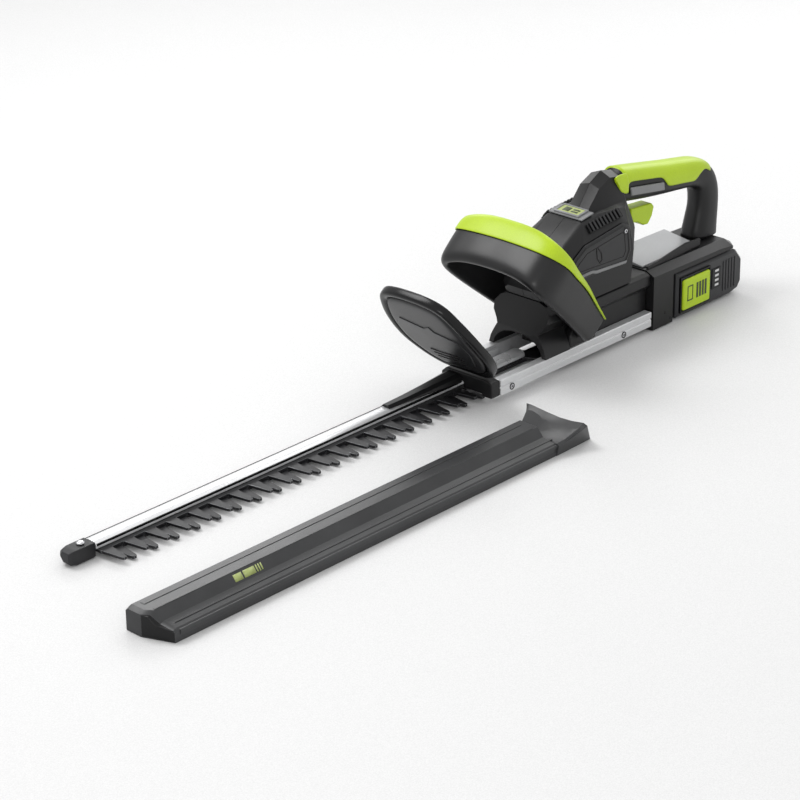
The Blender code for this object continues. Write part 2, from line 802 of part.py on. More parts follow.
PACK_HALF = 38.5
for label, side in (("right", -1), ("left", 1)):
    layers = [
        (0.15, inset(PACK, 0.01)),
        (PACK_HALF - 3.0, inset(PACK, 0.02)),
        (PACK_HALF, inset(PACK, 3.0)),
    ]
    shell = half_shell("battery_case_" + label, side, layers, GREY, 2.0)
    socket = box(
        "battery_mouth_" + label,
        (-786.5, MID - 15.0, 13.0),
        (-775.0, MID + 15.0, 35.0),
        DARK,
    )
    cut(shell, socket)
    if side > 0:
        window = box("latch_window", (-838.6, MID + 35.0, 1.4), (-789.4, MID + 41.0, 38.6), DARK)
        cut(shell, window)
CELL_R = 9.2
cells = []
for i in range(5):
    for k in range(7):
        angle = math.pi * (0.93 - 0.86 * k / 6)
        along = -874.5 + 18.2 * i + CELL_R * math.cos(angle)
        cells.append((along, 9.6 + CELL_R * math.sin(angle)))
cell_top = [(x, z + 18.4) for x, z in cells]
cell_low = [(x, 19.2 - z) for x, z in cells]
prism("cell_pack", cell_top + list(reversed(cell_low)), "y", MID - 32.5, MID + 32.5, CELL)
latch = [(-790.0, 2.0), (-790.0, 38.0), (-838.0, 38.0), (-838.0, 2.0)]
latch_obj = prism("latch_button", latch, "y", MID + PACK_HALF + GAP, MID + PACK_HALF + 5.0, GREEN)
bevel(latch_obj, 2.0, 2)
lights = [(-846.0, 10.0), (-846.0, 34.0), (-862.0, 34.0), (-862.0, 10.0)]
prism("charge_lights", lights, "y", MID + PACK_HALF + GAP, MID + PACK_HALF + 1.2, BLACK)

# ---------------------------------------------------------------- front handle
LOOP = (
    (46.0, -627.0, 33.0, 33.0),
    (54.0, -602.0, 57.0, 38.0),
    (61.0, -578.0, 81.0, 44.0),
    (66.0, -554.0, 104.0, 48.0),
    (67.0, -538.0, 121.5, 52.0),
    (59.0, -528.5, 135.0, 54.0),
    (34.0, -529.5, 142.0, 55.0),
    (0.0, -530.5, 143.5, 55.0),
)
LOOP_DEPTH = Vector((0.756, 0.0, -0.655))


def loop_stations():
    """Whole loop from the left foot over the top to the right foot."""
    left = [(Vector((x, MID + y, z)), depth) for y, x, z, depth in LOOP]
    right = [(Vector((x, MID - y, z)), depth) for y, x, z, depth in LOOP[:-1]]
    return left + list(reversed(right))


def loop_frames():
    stations = loop_stations()
    frames = []
    for i, (centre, depth) in enumerate(stations):
        before = stations[max(i - 1, 0)][0]
        after = stations[min(i + 1, len(stations) - 1)][0]
        along = (after - before).normalized()
        outward = along.cross(LOOP_DEPTH).normalized()
        if outward.dot(centre - Vector((-590.0, MID, 70.0))) < 0:
            outward = -outward
        frames.append((centre, outward, depth))
    return frames


def loop_ring(centre, outward, section):
    return [centre + LOOP_DEPTH * a + outward * b for a, b in section]


black_rings = []
for centre, outward, depth in loop_frames():
    half = depth / 2
    section = [
        (-half + 1.0, -5.0),
        (-half, -2.0),
        (-half, 3.0),
        (-half + 2.0, 4.6),
        (half * 0.35, 6.4),
        (half * 0.8, 5.0),
        (half, 1.0),
        (half, -4.0),
        (half - 2.0, -6.0),
        (0.0, -4.5),
    ]
    black_rings.append(loop_ring(centre, outward, section))
loft("front_handle", black_rings, BLACK)

green_rings = []
frames = loop_frames()
taper = (0.10, 0.16, 0.25, 0.34, 0.42, 0.45, 0.46, 0.46)
share = list(taper) + list(reversed(taper[:-1]))
for (centre, outward, depth), part in list(zip(frames, share)):
    half = depth / 2
    reach = -half + depth * part
    section = [
        (-half - 0.2, 4.7),
        (reach, 6.9),
        (reach - 1.0, 8.4),
        (-half + min(4.0, depth * part * 0.4), 8.0),
        (-half - 1.8, 5.4),
        (-half - 1.8, 3.5),
        (-half - 0.4, 3.3),
    ]
    green_rings.append(loop_ring(centre, outward, section))
loft("front_grip", green_rings, GREEN)

for label, side in (("left", 1), ("right", -1)):
    boss = [(-598.7, 16.4), (-598.7, 30.0), (-606.0, 38.0), (-634.0, 38.0), (-642.0, 28.0), (-642.0, 16.4)]
    prism("handle_boss_" + label, boss, "y", MID + side * 29.1, MID + side * 39.0, BLACK)

# ---------------------------------------------------------------- scabbard
SHEATH = [(120.0, 0.0), (120.0, 22.5), (123.0, 25.0), (146.0, 25.0), (153.5, 15.5), (168.0, 13.0), (170.5, 11.0)]
SHEATH += [(170.5, 0.0)]
STEP = [(118.0, 0.0), (115.0, 15.0), (118.0, 17.0), (144.0, 17.0), (157.0, 16.0), (171.0, 14.0), (174.0, 11.5)]
STEP += [(171.0, 0.0)]
MOUTH = [(110.0, 0.0), (103.0, 27.0), (110.0, 27.5), (144.0, 22.0), (160.0, 23.5), (179.0, 28.0), (182.0, 25.0)]
MOUTH += [(170.0, 0.0)]


def blend(first, second, part):
    return [(a * (1 - part) + c * part, b * (1 - part) + d * part) for (a, b), (c, d) in zip(first, second)]


sheath_stations = (
    (103.0, SHEATH, 0.88),
    (98.0, SHEATH, 1.0),
    (-180.0, SHEATH, 1.0),
    (-424.0, SHEATH, 1.0),
    (-426.0, STEP, 1.0),
    (-444.0, blend(STEP, MOUTH, 0.45), 1.0),
    (-456.0, MOUTH, 1.0),
)


def sheath_x(x, y, z):
    """Sets back the near front corner, and the lower lip of the mouth."""
    if x > 90:
        back = 9.0 * min(max(y - 141.0, 0.0) / 9.0, 1.0) + 3.0 * max(y - 150.0, 0.0) / 20.0
        return x - back
    if x < -430:
        return x - 22.0 * (-430.0 - x) / 26.0 * (1.0 - min(z, 28.0) / 28.0)
    return x


outer = []
for x, section, scale in sheath_stations:
    ring = []
    for y, z in section:
        low = scale if x > 100 else 1.0
        ring.append(Vector((sheath_x(x, y, z), y, FLOOR + z * low)))
    outer.append(ring)
inner = []
for x, section, scale in reversed(sheath_stations[1:]):
    ring = []
    for y, z in inset(section, 1.8):
        depth = 3.0 if x > 90 else -2.2 if -427.0 < x < -423.0 else 0.0
        ring.append(Vector((sheath_x(x, y, z) - depth, y, FLOOR + z)))
    inner.append(ring)
loft("scabbard", outer + inner, DARK)
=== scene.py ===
import json
import math

import bmesh
import bpy
from mathutils import Matrix, Vector


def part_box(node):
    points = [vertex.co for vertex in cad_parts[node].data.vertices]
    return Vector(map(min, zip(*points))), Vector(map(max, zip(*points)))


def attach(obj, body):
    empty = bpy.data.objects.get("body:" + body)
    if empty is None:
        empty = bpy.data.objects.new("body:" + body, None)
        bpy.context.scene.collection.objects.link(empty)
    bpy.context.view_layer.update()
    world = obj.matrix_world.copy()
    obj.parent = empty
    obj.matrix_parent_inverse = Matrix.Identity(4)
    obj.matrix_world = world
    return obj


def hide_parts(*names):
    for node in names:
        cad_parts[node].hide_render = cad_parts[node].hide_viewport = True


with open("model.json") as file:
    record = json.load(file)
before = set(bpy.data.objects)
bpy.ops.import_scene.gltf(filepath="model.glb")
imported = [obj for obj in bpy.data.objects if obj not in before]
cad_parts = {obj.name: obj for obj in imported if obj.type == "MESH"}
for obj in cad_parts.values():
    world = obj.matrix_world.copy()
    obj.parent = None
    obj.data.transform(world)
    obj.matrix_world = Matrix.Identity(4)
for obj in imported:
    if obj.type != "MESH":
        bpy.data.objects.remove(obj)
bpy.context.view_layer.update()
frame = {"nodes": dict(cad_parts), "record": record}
nodes = frame["nodes"]

# Design datum to row frame, in mm. Pieces below are laid out from the datum, as the CAD is:
# x runs from the back of the tool to its nose, y across it, z up.
SHIFT = Vector((399.995, -54.862, 8.0))
MID = 3.0  # middle plane of the tool
FLOOR = -8.0  # level that the tool and its cover lie on
RAIL_FACE = 39.0  # from the middle plane to a rail's outer face
PACK_FACE = 38.5  # from the middle plane to the battery's side
PAD_RISE = 5.0  # how far the green pad stands off the battery
LIGHTS_RISE = 1.2  # the same for the charge-light plate
ROUND_DEFAULT = 0.8  # rounding of a carried-over node's edges
SHARP = math.radians(24)  # edges that turn more than this are rounded


def at(point):
    """Row-frame position, in metres, of a point given in datum mm."""
    return (Vector(point) + SHIFT) / 1000.0


# ---------------------------------------------------------------- materials
def shader(
    name,
    colour,
    rough,
    metal=0.0,
    grain=900.0,
    bump=0.15,
    depth=0.00012,
    mottle=0.12,
    vary=0.06,
    stretch=(1.0, 1.0, 1.0),
    coat=0.0,
    specular=0.5,
    dust=0.0,
):
    """Moulded or machined finish: broad tint changes, fine grain in roughness and relief."""
    mat = bpy.data.materials.new(name)
    mat.use_nodes = True
    tree = mat.node_tree
    make = tree.nodes.new
    link = tree.links.new
    body = tree.nodes["Principled BSDF"]
    body.inputs["Metallic"].default_value = metal
    body.inputs["Coat Weight"].default_value = coat
    body.inputs["Coat Roughness"].default_value = 0.25
    body.inputs["Specular IOR Level"].default_value = specular
    coords = make("ShaderNodeTexCoord")
    mapping = make("ShaderNodeMapping")
    mapping.inputs["Scale"].default_value = stretch
    link(coords.outputs["Object"], mapping.inputs["Vector"])
    fine = make("ShaderNodeTexNoise")
    fine.inputs["Scale"].default_value = grain
    fine.inputs["Detail"].default_value = 3.0
    fine.inputs["Roughness"].default_value = 0.6
    link(mapping.outputs["Vector"], fine.inputs["Vector"])
    broad = make("ShaderNodeTexNoise")
    broad.inputs["Scale"].default_value = 22.0
    broad.inputs["Detail"].default_value = 5.0
    broad.inputs["Roughness"].default_value = 0.55
    link(coords.outputs["Object"], broad.inputs["Vector"])
    ramp = make("ShaderNodeValToRGB")
    ramp.color_ramp.elements[0].position = 0.3
    ramp.color_ramp.elements[1].position = 0.72
    ramp.color_ramp.elements[0].color = [c * (1.0 - mottle) for c in colour] + [1.0]
    ramp.color_ramp.elements[1].color = [min(c * (1.0 + mottle) + dust, 1.0) for c in colour] + [1.0]
    link(broad.outputs["Fac"], ramp.inputs["Fac"])
    tint = make("ShaderNodeMix")
    tint.data_type = "RGBA"
    tint.blend_type = "MULTIPLY"
    speck = make("ShaderNodeValToRGB")
    speck.color_ramp.elements[0].position = 0.25
    speck.color_ramp.elements[1].position = 0.7
    speck.color_ramp.elements[0].color = (0.84, 0.84, 0.84, 1.0)
    speck.color_ramp.elements[1].color = (1.0, 1.0, 1.0, 1.0)
    link(fine.outputs["Fac"], speck.inputs["Fac"])
    tint.inputs["Factor"].default_value = 1.0
    link(ramp.outputs["Color"], tint.inputs["A"])
    link(speck.outputs["Color"], tint.inputs["B"])
    link(tint.outputs["Result"], body.inputs["Base Color"])
    spread = make("ShaderNodeMapRange")
    spread.inputs["To Min"].default_value = max(rough - vary, 0.03)
    spread.inputs["To Max"].default_value = min(rough + vary, 1.0)
    link(broad.outputs["Fac"], spread.inputs["Value"])
    link(spread.outputs["Result"], body.inputs["Roughness"])
    relief = make("ShaderNodeBump")
    relief.inputs["Strength"].default_value = bump
    relief.inputs["Distance"].default_value = depth
    link(fine.outputs["Fac"], relief.inputs["Height"])
    link(relief.outputs["Normal"], body.inputs["Normal"])
    return mat


BLACK = shader("moulded black", (0.0065, 0.0065, 0.007), 0.38, bump=0.3, dust=0.002, specular=0.34)
SOFT = shader(
    "soft black overmould", (0.008, 0.008, 0.0085), 0.34, grain=1400.0, bump=0.3, dust=0.002, specular=0.4
)
# Smooth black for moulded parts, also used as painted shade on the cover's corner, the bar's far edge, the
# screw and bolt drives and round the battery pad
SMOOTH_BLACK_AND_SHADE = shader("smooth black and painted shade", (0.003, 0.003, 0.0034), 0.25, grain=600.0, bump=0.06, specular=0.3)
PANEL = shader(
    "side panel", (0.013, 0.0133, 0.0145), 0.34, grain=1200.0, bump=0.3, dust=0.003, specular=0.4
)
TOP = shader("top panel grey", (0.19, 0.193, 0.197), 0.34, grain=1200.0, bump=0.2)
PACK = shader("battery grey", (0.026, 0.0265, 0.0285), 0.36, grain=1200.0, bump=0.3, specular=0.4)
SHEATH = shader(
    "cover grey", (0.024, 0.0245, 0.026), 0.34, grain=700.0, bump=0.22, dust=0.006, specular=0.5
)
LIGHT = shader("pale grey plastic", (0.32, 0.325, 0.333), 0.32, grain=900.0, bump=0.12, mottle=0.05)
GREEN = shader(
    "green plastic", (0.43, 0.595, 0.012), 0.36, grain=1000.0, bump=0.12, mottle=0.05, specular=0.4
)
BADGE = shader("badge label", (0.36, 0.42, 0.14), 0.34, grain=800.0, bump=0.06, mottle=0.05)
GREEN_DARK = shader("dark relief", (0.030, 0.045, 0.008), 0.38, grain=1000.0, bump=0.12, mottle=0.06)
WHITE = shader("pale print", (0.62, 0.62, 0.62), 0.4, grain=900.0, bump=0.05, mottle=0.04)
ALU = shader(
    "brushed aluminium", (0.72, 0.725, 0.735), 0.38, metal=0.6, grain=180.0, bump=0.12, mottle=0.05,
    stretch=(1.0, 22.0, 22.0), vary=0.05,
)
BAR = shader(
    "bright bar", (0.80, 0.805, 0.815), 0.28, metal=0.55, grain=170.0, bump=0.05, mottle=0.05,
    stretch=(1.0, 26.0, 26.0), vary=0.05,
)
STEEL = shader(
    "dark blade steel", (0.012, 0.012, 0.0135), 0.46, metal=0.2, grain=240.0, bump=0.16, mottle=0.25,
    stretch=(1.0, 14.0, 14.0), vary=0.08,
)
EDGE = shader(
    "ground edge", (0.22, 0.225, 0.235), 0.30, metal=1.0, grain=300.0, bump=0.10, mottle=0.10,
    stretch=(12.0, 1.0, 12.0),
)
BRIGHT = shader("machined steel", (0.62, 0.62, 0.64), 0.25, metal=1.0, grain=500.0, bump=0.08, mottle=0.06)
MOTOR = shader("motor can", (0.40, 0.40, 0.42), 0.32, metal=1.0, grain=300.0, bump=0.08, mottle=0.06)
BOARD = shader("circuit board", (0.02, 0.15, 0.06), 0.35, grain=500.0, bump=0.1, coat=0.4)
WRAP = shader("cell wrap", (0.05, 0.16, 0.42), 0.30, grain=300.0, bump=0.04, coat=0.3)

SLOT_LOOK = {
    "black_plastic": BLACK,
    "grey_plastic": PACK,
    "light_plastic": LIGHT,
    "green_plastic": GREEN,
    "aluminium": ALU,
    "blade_steel": STEEL,
    "bright_steel": BRIGHT,
    "motor_steel": MOTOR,
    "inner_plastic": SMOOTH_BLACK_AND_SHADE,
    "circuit_board": BOARD,
    "cell_wrap": WRAP,
}
NODE_LOOK = {
    "top_panel": TOP,
    "side_cover_left": PANEL,
    "side_cover_right": PANEL,
    "blade_bar": BAR,
    "scabbard": SHEATH,
    "front_handle": SOFT,
    "vent_grille_left": SMOOTH_BLACK_AND_SHADE,
    "vent_grille_right": SMOOTH_BLACK_AND_SHADE,
    "lock_off_slider": TOP,
    "guard_panel": PANEL,
    "badge_plate": BADGE,
}
# Edge rounding of each carried-over node, in mm; the rest take ROUND_DEFAULT.
ROUND = {
    "motor_shell_left": 2.6,
    "motor_shell_right": 2.6,
    "gear_case_front": 2.0,
    "gear_case_bottom": 0.6,
    "base_left": 1.4,
    "base_right": 1.4,
    "side_cover_left": 1.3,
    "side_cover_right": 1.3,
    "bay_left": 2.2,
    "bay_right": 2.2,
    "battery_case_left": 1.4,
    "battery_case_right": 1.4,
    "scabbard": 1.2,
    "front_bracket": 1.5,
    "root_cover": 1.2,
    "rail_left": 0.5,
    "rail_right": 0.5,
    "blade_bar": 0.4,
    "upper_blade": 0.7,
    "lower_blade": 0.7,
    "deck_plate": 0.5,
    "deck_fin": 0.9,
    "handle_boss_left": 2.0,
    "handle_boss_right": 2.0,
    "top_panel": 0.7,
}


def soften(o, width, segments=3, edge_slot=-1):
    """Rounds a carried-over node's edges and shades it evenly."""
    mesh = o.data
    if "custom_normal" in mesh.attributes:
        mesh.attributes.remove(mesh.attributes["custom_normal"])
    for face in mesh.polygons:
        face.use_smooth = True
    weld = o.modifiers.new("Weld", "WELD")
    weld.merge_threshold = 0.000005
    flat = o.modifiers.new("Planes", "DECIMATE")
    flat.decimate_type = "DISSOLVE"
    flat.angle_limit = math.radians(1.0)
    edge = o.modifiers.new("Edges", "BEVEL")
    edge.limit_method = "ANGLE"
    edge.angle_limit = SHARP
    edge.width = width / 1000.0
    edge.segments = segments
    edge.use_clamp_overlap = True
    edge.miter_outer = "MITER_ARC"
    edge.material = edge_slot
    even = o.modifiers.new("Even", "WEIGHTED_NORMAL")
    even.keep_sharp = False


slot_of = {s["node"]: s["material_slot"] for s in frame["record"]["subparts"]}
for name, o in nodes.items():
    look = NODE_LOOK.get(name, SLOT_LOOK[slot_of[name]])
    o.data.materials.clear()
    o.data.materials.append(look)
    if name in ("upper_blade", "lower_blade"):
        o.data.materials.append(EDGE)
        soften(o, ROUND[name], 1, 1)
    else:
        soften(o, ROUND.get(name, ROUND_DEFAULT), 3)


# ---------------------------------------------------------------- mesh helpers
def settle(name, bm, mat, body, levels=0, round_mm=0.0, segments=2):
    """Turns the mesh into a finished piece that moves with the body."""
    bmesh.ops.recalc_face_normals(bm, faces=bm.faces)
    mesh = bpy.data.meshes.new(name)
    bm.to_mesh(mesh)
    bm.free()
    for face in mesh.polygons:
        face.use_smooth = True
    o = bpy.data.objects.new(name, mesh)
    bpy.context.scene.collection.objects.link(o)
    mesh.materials.append(mat)
    if round_mm:
        edge = o.modifiers.new("Edges", "BEVEL")
        edge.limit_method = "ANGLE"
        edge.angle_limit = SHARP
        edge.width = round_mm / 1000.0
        edge.segments = segments
        even = o.modifiers.new("Even", "WEIGHTED_NORMAL")
        even.keep_sharp = False
    if levels:
        sub = o.modifiers.new("Smooth", "SUBSURF")
        sub.levels = levels
        sub.render_levels = levels
    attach(o, body)
    return o


def spline(points, per):
    """Catmull-Rom curve through the points, per steps between each two."""
    out = []
    last = len(points) - 1
    for i in range(last):
        p0 = points[max(i - 1, 0)]
        p1 = points[i]
        p2 = points[i + 1]
        p3 = points[min(i + 2, last)]
        for k in range(per):
            t = k / per
            a = 2.0 * p1
            b = (p2 - p0) * t
            c = (2.0 * p0 - 5.0 * p1 + 4.0 * p2 - p3) * t * t
            d = (3.0 * p1 - p0 - 3.0 * p2 + p3) * t * t * t
            out.append((a + b + c + d) * 0.5)
    out.append(points[-1])
    return out


def rings_mesh(rings, per=1, cap_crease=1.0):
    """A closed skin over rings of points in mm, smoothed along its length."""
    if per > 1:
        columns = [spline([Vector(p) for p in column], per) for column in zip(*rings)]
        rings = [list(ring) for ring in zip(*columns)]
    bm = bmesh.new()
    crease = bm.edges.layers.float.new("crease_edge")
    rows = [[bm.verts.new(at(p)) for p in ring] for ring in rings]
    count = len(rows[0])
    for a, b in zip(rows, rows[1:]):
        for i in range(count):
            j = (i + 1) % count
            bm.faces.new((a[i], a[j], b[j], b[i]))
    for row in (rows[0], rows[-1]):
        cap = bm.faces.new(row)
        for edge in cap.edges:
            edge[crease] = cap_crease
    return bm


def place(axis, a, b, level):
    """Point with two plane coordinates and a level along the axis."""
    if axis == "x":
        return Vector((level, a, b))
    if axis == "y":
        return Vector((a, level, b))
    return Vector((a, b, level))


def prism_mesh(outline, axis, low, high, top_scale=1.0):
    """Straight prism of the outline; the high end may be drawn in."""
    cx = sum(p[0] for p in outline) / len(outline)
    cy = sum(p[1] for p in outline) / len(outline)
    far = [(cx + (a - cx) * top_scale, cy + (b - cy) * top_scale) for a, b in outline]
    return rings_mesh([
        [place(axis, a, b, low) for a, b in outline],
        [place(axis, a, b, high) for a, b in far],
    ])


def circle(cx, cy, radius, count=24):
    """Outline of a circle as count points."""
    turn = 2.0 * math.pi / count
    return [(cx + radius * math.cos(turn * i), cy + radius * math.sin(turn * i)) for i in range(count)]


def inset(outline, distance):
    """The outline moved inwards by the distance, or outwards where it is negative."""
    total = 0.0
    for (ax, ay), (bx, by) in zip(outline, outline[1:] + outline[:1]):
        total += ax * by - bx * ay
    sign = 1.0 if total > 0 else -1.0
    out = []
    count = len(outline)
    for i, p in enumerate(outline):
        a = Vector(outline[i - 1])
        b = Vector(p)
        c = Vector(outline[(i + 1) % count])
        d1 = (b - a).normalized()
        d2 = (c - b).normalized()
        n1 = Vector((-d1.y, d1.x)) * sign
        n2 = Vector((-d2.y, d2.x)) * sign
        miter = (n1 + n2) / max(1.0 + n1.dot(n2), 0.3)
        out.append(tuple(b + miter * distance))
    return out


def frame_band(name, outline, axis, level, rise, width, mat, body, drawn=0.0, round_mm=0.3):
    """A raised closed band that follows the outline on a flat face."""
    outer = outline if not drawn else inset(outline, drawn)
    inner = inset(outer, width)
    bm = bmesh.new()
    rows = []
    for ring, height in ((outer, level), (outer, rise), (inner, rise), (inner, level)):
        rows.append([bm.verts.new(at(place(axis, a, b, height))) for a, b in ring])
    count = len(outer)
    for a, b in zip(rows, rows[1:] + rows[:1]):
        for i in range(count):
            j = (i + 1) % count
            bm.faces.new((a[i], a[j], b[j], b[i]))
    return settle(name, bm, mat, body, round_mm=round_mm)


def screw(name, centre, axis, level, out, radius, body):
    """A screw head in a raised collar, with a six-point drive."""
    a, b = centre
    side = 1.0 if out > 0 else -1.0
    collar = circle(a, b, radius + 1.6)
    frame_band(name + "_collar", collar, axis, level - 0.4 * side, level + 0.5 * side, 1.1, BLACK, body,
               round_mm=0.25)
    head = prism_mesh(circle(a, b, radius), axis, level - 0.4 * side, level + 0.35 * side, 0.9)
    settle(name + "_head", head, BRIGHT, body, round_mm=0.2)
    # The drive is a thin dark star laid on the head: painted shade standing for the socket's recess
    star = []
    for i in range(12):
        reach = radius * (0.55 if i % 2 == 0 else 0.36)
        angle = math.pi * i / 6
        star.append((a + reach * math.cos(angle), b + reach * math.sin(angle)))
    drive = prism_mesh(star, axis, level + 0.3 * side, level + 0.42 * side)
    settle(name + "_drive", drive, SMOOTH_BLACK_AND_SHADE, body)


def hull(points):
    """Convex outline of points in a plane."""
    points = sorted(set((round(a, 3), round(b, 3)) for a, b in points))

    def half(seq):
        """The turns to one side only, walking along the sorted points."""
        out = []
        for p in seq:
            while len(out) > 1:
                ax, ay = out[-1][0] - out[-2][0], out[-1][1] - out[-2][1]
                bx, by = p[0] - out[-2][0], p[1] - out[-2][1]
                if ax * by - ay * bx > 1e-9:
                    break
                out.pop()
            out.append(p)
        return out[:-1]

    return half(points) + half(list(reversed(points)))


def face_outline(node, side):
    """x-z outline, in datum mm, of a node's outermost face across the tool."""
    points = [v.co * 1000.0 - SHIFT for v in nodes[node].data.vertices]
    edge = max(side * p.y for p in points)
    flat = [(p.x, p.z) for p in points if side * p.y > edge - 0.05]
    return hull(flat), side * edge


# ---------------------------------------------------------------- front handle
# Stations from a foot up to the middle of the top: offset from the middle plane, x, z, depth of the strap
LOOP = (
    (46.0, -627.0, 33.0, 33.0),
    (54.0, -602.0, 57.0, 38.0),
    (61.0, -578.0, 81.0, 44.0),
    (66.0, -554.0, 104.0, 48.0),
    (67.0, -538.0, 121.5, 52.0),
    (59.0, -528.5, 135.0, 54.0),
    (34.0, -529.5, 142.0, 55.0),
    (0.0, -530.5, 143.5, 55.0),
)
GREEN_SHARE = (0.06, 0.08, 0.11, 0.15, 0.21, 0.32, 0.42, 0.44)  # green part of the depth at each
LOOP_DEPTH = Vector((0.756, 0.0, -0.655))  # across the strap, forwards and down
LOOP_INSIDE = Vector((-590.0, MID, 70.0))  # a point within the loop
left = [(Vector((x, MID + y, z)), depth) for y, x, z, depth in LOOP]
right = [(Vector((x, MID - y, z)), depth) for y, x, z, depth in LOOP[:-1]]
stations = left + list(reversed(right))
shares = list(GREEN_SHARE) + list(reversed(GREEN_SHARE[:-1]))
black_rings = []
green_rings = []
for i, ((centre, depth), share) in enumerate(zip(stations, shares)):
    before = stations[max(i - 1, 0)][0]
    after = stations[min(i + 1, len(stations) - 1)][0]
    outward = (after - before).normalized().cross(LOOP_DEPTH).normalized()
    if outward.dot(centre - LOOP_INSIDE) < 0:
        outward = -outward
    half = depth / 2
    reach = -half + depth * share
    black = [
        (-half + 1.0, -5.0),
        (-half, -2.5),
        (-half, 3.0),
        (-half + 2.0, 4.7),
        (reach, 6.0),
        (reach + 0.5, 6.4),
        (half * 0.55, 6.2),
        (half * 0.85, 5.0),
        (half, 1.5),
        (half, -3.5),
        (half - 2.0, -6.0),
        (half * 0.4, -5.4),
        (0.0, -4.6),
    ]
    low = min(4.0, depth * share * 0.4)
    green = [
        (-half - 0.2, 4.4),
        (reach, 6.2),
        (reach - 0.3, 8.0),
        (reach - 1.6, 8.5),
        (-half + low, 8.1),
        (-half - 1.6, 5.6),
        (-half - 1.8, 3.6),
        (-half - 0.4, 3.2),
    ]
    black_rings.append([centre + LOOP_DEPTH * a + outward * b for a, b in black])
    green_rings.append([centre + LOOP_DEPTH * a + outward * b for a, b in green])
handle = settle("front_handle_body", rings_mesh(black_rings, 5, 0.8), SOFT, "frame", 2)
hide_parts("front_handle")
grip = settle("front_handle_grip", rings_mesh(green_rings, 5, 0.8), GREEN, "frame", 2)
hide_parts("front_grip")

# ---------------------------------------------------------------- rear handle
# Stations from the housing back and down to the bay: x, z, half width, half height
PATH = (
    (-717.5, 160.0, 16.0, 20.0),
    (-740.0, 156.0, 15.5, 20.0),
    (-770.0, 151.0, 15.5, 19.5),
    (-800.0, 146.5, 15.5, 18.5),
    (-830.0, 142.5, 15.5, 17.5),
    (-852.0, 138.5, 15.5, 17.0),
    (-868.0, 129.0, 15.5, 18.0),
    (-875.0, 114.0, 15.5, 19.0),
    (-876.0, 96.0, 15.5, 19.5),
    (-873.0, 78.0, 16.5, 21.0),
    (-870.0, 61.5, 17.5, 23.0),
)
# Lower edge of the green grip from front to back: x and angle in degrees, dipping at the rear
GRIP_STOPS = (
    (-717.5, -10.0),
    (-722.0, 12.0),
    (-784.0, 12.0),
    (-789.0, -13.0),
    (-842.0, -15.0),
    (-856.0, 24.0),
)
# Green tongues that run down beside the housing: x, lower and upper angle in degrees
TONGUE = (
    (-719.0, -10.0, 44.0),
    (-712.0, -10.0, 43.0),
    (-706.0, -3.0, 40.0),
    (-702.0, 8.0, 36.0),
    (-699.5, 18.0, 30.0),
)
RIGHT_TONGUE_TOP = 22.0  # the right-hand tongue stays below the hump
TONGUE_SLOPE = 0.17
TONGUE_STEPS = 8
OVAL_POINTS = 28
LAST_GRIP = 23  # the grip ends at this station of the smoothed path
GRIP_STEPS = 18
path = spline([Vector(p) for p in PATH], 4)


def handle_frame(i):
    """Middle, outward direction, half width and half height of the handle at a station."""
    x, z, width, height = path[i]
    before = path[max(i - 1, 0)]
    after = path[min(i + 1, len(path) - 1)]
    along = Vector((after[0] - before[0], 0.0, after[1] - before[1])).normalized()
    if i == 0:
        along = Vector((-1.0, 0.0, 0.0))
    if i == len(path) - 1:
        along = Vector((0.0, 0.0, -1.0))
    return Vector((x, MID, z)), Vector((along.z, 0.0, -along.x)), width, height


def oval(centre, outward, width, height, angle, grow):
    """Point at an angle on the handle's squarish oval section."""
    across = math.cos(angle)
    up = math.sin(angle)
    offset = math.copysign(abs(across) ** 0.75, across) * (width + grow)
    rise = math.copysign(abs(up) ** 0.75, up) * (height + grow)
    point = centre + outward * rise
    return Vector((point.x, MID + offset, point.z))


body_rings = []
for i in range(len(path)):
    centre, outward, width, height = handle_frame(i)
    body_rings.append([
        oval(centre, outward, width, height, 2.0 * math.pi * (k + 0.5) / OVAL_POINTS, -1.0)
        for k in range(OVAL_POINTS)
    ])
rear = settle("rear_handle_body", rings_mesh(body_rings, 1, 1.0), BLACK, "frame", 1)
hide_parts("handle_shell_left", "handle_shell_right")


def grip_edge(x):
    """Angle at which the green grip's lower edge runs."""
    for (xa, a), (xb, b) in zip(GRIP_STOPS, GRIP_STOPS[1:]):
        if x >= xb:
            part = (xa - x) / (xa - xb)
            return math.radians(a + (b - a) * part)
    return math.radians(GRIP_STOPS[-1][1])


grip_rings = []
for i in range(LAST_GRIP + 1):
    centre, outward, width, height = handle_frame(i)
    start = grip_edge(centre.x)
    stop = math.pi - start
    swell = {LAST_GRIP - 1: 0.5, LAST_GRIP: -0.2}.get(i, 0.9)
    turns = [start + (stop - start) * k / GRIP_STEPS for k in range(GRIP_STEPS + 1)]
    outer = [oval(centre, outward, width, height, turn, swell) for turn in turns]
    inner = [oval(centre, outward, width, height, turn, -1.4) for turn in reversed(turns)]
    grip_rings.append(outer + inner)
upright = Vector((0.0, 0.0, 1.0))
centre, outward, width, height = handle_frame(0)
for label, side in (("left", 1.0), ("right", -1.0)):
    tongue = []
    for x, low, high in TONGUE:
        top = high if side > 0 else min(high, RIGHT_TONGUE_TOP)
        middle = Vector((x, MID, centre.z + (x - centre.x) * TONGUE_SLOPE))
        turns = [math.radians(low + (top - low) * k / TONGUE_STEPS) for k in range(TONGUE_STEPS + 1)]
        if side < 0:
            turns = [math.pi - turn for turn in turns]
        outer = [oval(middle, upright, width, height, turn, 2.6) for turn in turns]
        inner = [oval(middle, upright, width, height, turn, -1.0) for turn in reversed(turns)]
        tongue.append(outer + inner)
    settle(f"rear_handle_tongue_{label}", rings_mesh(tongue, 3, 0.5), GREEN, "frame", 1)
top_grip = settle("rear_handle_grip", rings_mesh(grip_rings, 1, 0.6), GREEN, "frame", 1)
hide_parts("rear_grip")

